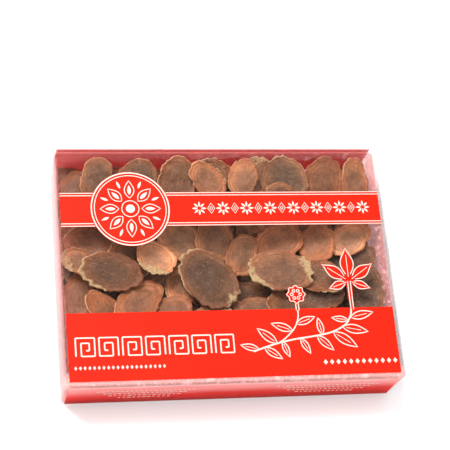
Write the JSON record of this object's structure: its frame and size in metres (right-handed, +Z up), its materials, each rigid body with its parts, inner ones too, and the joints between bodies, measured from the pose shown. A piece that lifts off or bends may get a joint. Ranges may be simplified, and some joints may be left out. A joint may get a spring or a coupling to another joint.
{
  "type": "box of sliced ginseng root",
  "caption": "Flat clear plastic box with red label bands, filled with loose, overlapping dried slices of ginseng root.",
  "frame": {"origin": "middle of the underside, on the surface the box stands on", "axes": "+X along the box's long side, with the round badge towards -X; +Y from the front wall to the back wall; +Z up"},
  "size_m": [0.18, 0.1346, 0.0317],
  "materials": {
    "lid_clear": "clear glossy sheet",
    "tray_pink": "pink-tinted see-through sheet",
    "film_clear": "thin crinkled clear film",
    "label_red": "solid red print, satin",
    "print_white": "white print, satin",
    "dried_root": "dried, waxy, satin"
  },
  "bodies": {
    "root": {"tray": "tray_pink", "film_bag": "film_clear", "lid": "lid_clear", "narrow_band": "label_red", "wide_band": "label_red", "front_label": "label_red", "back_label": "label_red", "lower_slices": "dried_root", "slice_01": "dried_root", "slice_02": "dried_root", "slice_03": "dried_root", "slice_04": "dried_root", "slice_05": "dried_root", "slice_06": "dried_root", "slice_07": "dried_root", "slice_08": "dried_root", "slice_09": "dried_root", "slice_10": "dried_root", "slice_11": "dried_root", "slice_12": "dried_root", "slice_13": "dried_root", "slice_14": "dried_root", "slice_15": "dried_root", "slice_16": "dried_root", "slice_17": "dried_root", "slice_18": "dried_root", "slice_19": "dried_root", "slice_20": "dried_root", "slice_21": "dried_root", "slice_22": "dried_root", "slice_23": "dried_root", "slice_24": "dried_root", "slice_25": "dried_root", "slice_26": "dried_root", "slice_27": "dried_root", "slice_28": "dried_root", "slice_29": "dried_root", "slice_30": "dried_root", "slice_31": "dried_root", "slice_32": "dried_root", "slice_33": "dried_root", "slice_34": "dried_root", "slice_35": "dried_root", "slice_36": "dried_root", "slice_37": "dried_root", "slice_38": "dried_root", "slice_39": "dried_root", "slice_40": "dried_root", "slice_41": "dried_root", "slice_42": "dried_root", "slice_43": "dried_root", "slice_44": "dried_root", "slice_45": "dried_root", "slice_46": "dried_root", "slice_47": "dried_root"}
  },
  "joints": []
}
